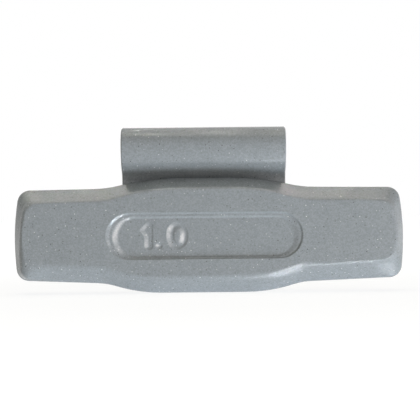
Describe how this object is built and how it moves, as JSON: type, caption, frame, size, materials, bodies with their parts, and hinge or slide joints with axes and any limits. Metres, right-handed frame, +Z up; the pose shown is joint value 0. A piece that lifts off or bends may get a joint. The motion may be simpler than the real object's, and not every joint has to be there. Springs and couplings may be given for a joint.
{
  "type": "wheel balance weight",
  "caption": "Clip-on wheel balance weight: a bevelled steel bar with a swollen middle and a sunk panel, held to a rim's lip by a bent spring clip.",
  "frame": {"origin": "middle of the clip's roll, on the axis of the round edge of the rim's lip", "axes": "+X along the bar, +Y out of the back towards the rim, +Z up along the bar's face, away from the wheel's hub; the marked face looks along -Y"},
  "size_m": [0.052, 0.0082, 0.0222],
  "materials": {
    "body_coat": "grey powder coat on coined steel, satin, finely flecked",
    "clip_coat": "grey powder coat on spring steel strip, satin, finely flecked"
  },
  "bodies": {
    "root": {"weight_body": "body_coat", "spring_clip": "clip_coat"}
  },
  "joints": []
}
